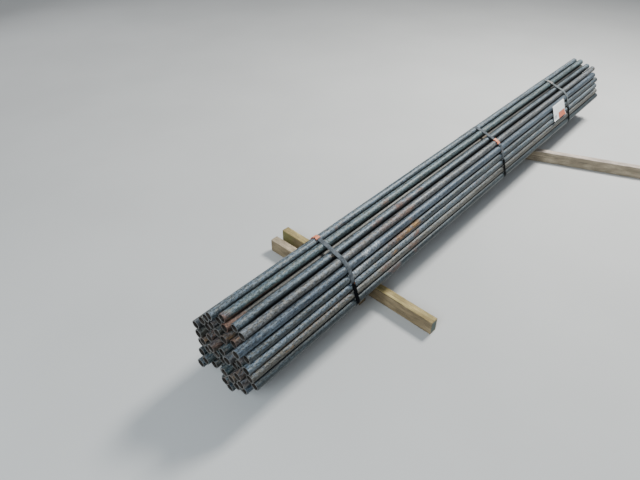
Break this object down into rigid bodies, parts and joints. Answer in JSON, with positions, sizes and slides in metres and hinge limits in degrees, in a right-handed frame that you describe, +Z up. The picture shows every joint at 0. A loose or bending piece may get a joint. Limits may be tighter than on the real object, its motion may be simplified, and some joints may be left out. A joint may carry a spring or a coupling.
{
  "type": "bundle of steel pipes",
  "caption": "Long strapped bundle of dark steel pipes lying on timber bearers, with strap seals and a plain label tag.",
  "frame": {"origin": "on the ground under the middle of the whole, bundle and bearers together", "axes": "+X along the pipes from the near end in the picture to the far end, +Y to the left as seen from the near end, +Z up"},
  "size_m": [3.1198, 1.154, 0.3613],
  "materials": {
    "pipe_steel": "dark blue-grey mill scale, dusty on top, with rust streaks and spots",
    "strap_steel": "dark blue-black painted steel strapping, worn",
    "seal_paint": "orange-red painted crimp seal, dusty",
    "tag_sheet": "matt white weatherproof label sheet with a faded orange-red block",
    "bearer_timber": "sawn softwood, weathered, mossy at the near left end",
    "bearer_timber_grey": "sawn softwood, weathered silver grey"
  },
  "bodies": {
    "root": {"bearer_far": "bearer_timber_grey", "bearer_near": "bearer_timber", "bearer_near_short": "bearer_timber", "bottom_pipe_1": "pipe_steel", "bottom_pipe_2": "pipe_steel", "bottom_pipe_3": "pipe_steel", "bottom_pipe_4": "pipe_steel", "bottom_pipe_5": "pipe_steel", "bottom_pipe_6": "pipe_steel", "inner_pipes_course_2": "pipe_steel", "inner_pipes_course_3": "pipe_steel", "inner_pipes_course_4": "pipe_steel", "inner_pipes_course_5": "pipe_steel", "inner_pipes_course_6": "pipe_steel", "inner_pipes_course_7": "pipe_steel", "label_tag": "tag_sheet", "left_pipe_1": "pipe_steel", "left_pipe_2": "pipe_steel", "left_pipe_3": "pipe_steel", "left_pipe_4": "pipe_steel", "left_pipe_5": "pipe_steel", "left_pipe_6": "pipe_steel", "outlying_pipe": "pipe_steel", "right_pipe_1": "pipe_steel", "right_pipe_2": "pipe_steel", "right_pipe_3": "pipe_steel", "right_pipe_4": "pipe_steel", "right_pipe_5": "pipe_steel", "right_pipe_6": "pipe_steel", "seal_far": "seal_paint", "seal_middle": "seal_paint", "seal_near": "seal_paint", "strap_far": "strap_steel", "strap_middle": "strap_steel", "strap_near": "strap_steel", "top_pipe_1": "pipe_steel", "top_pipe_2": "pipe_steel", "top_pipe_3": "pipe_steel", "top_pipe_4": "pipe_steel", "top_pipe_5": "pipe_steel", "top_pipe_6": "pipe_steel"}
  },
  "joints": []
}
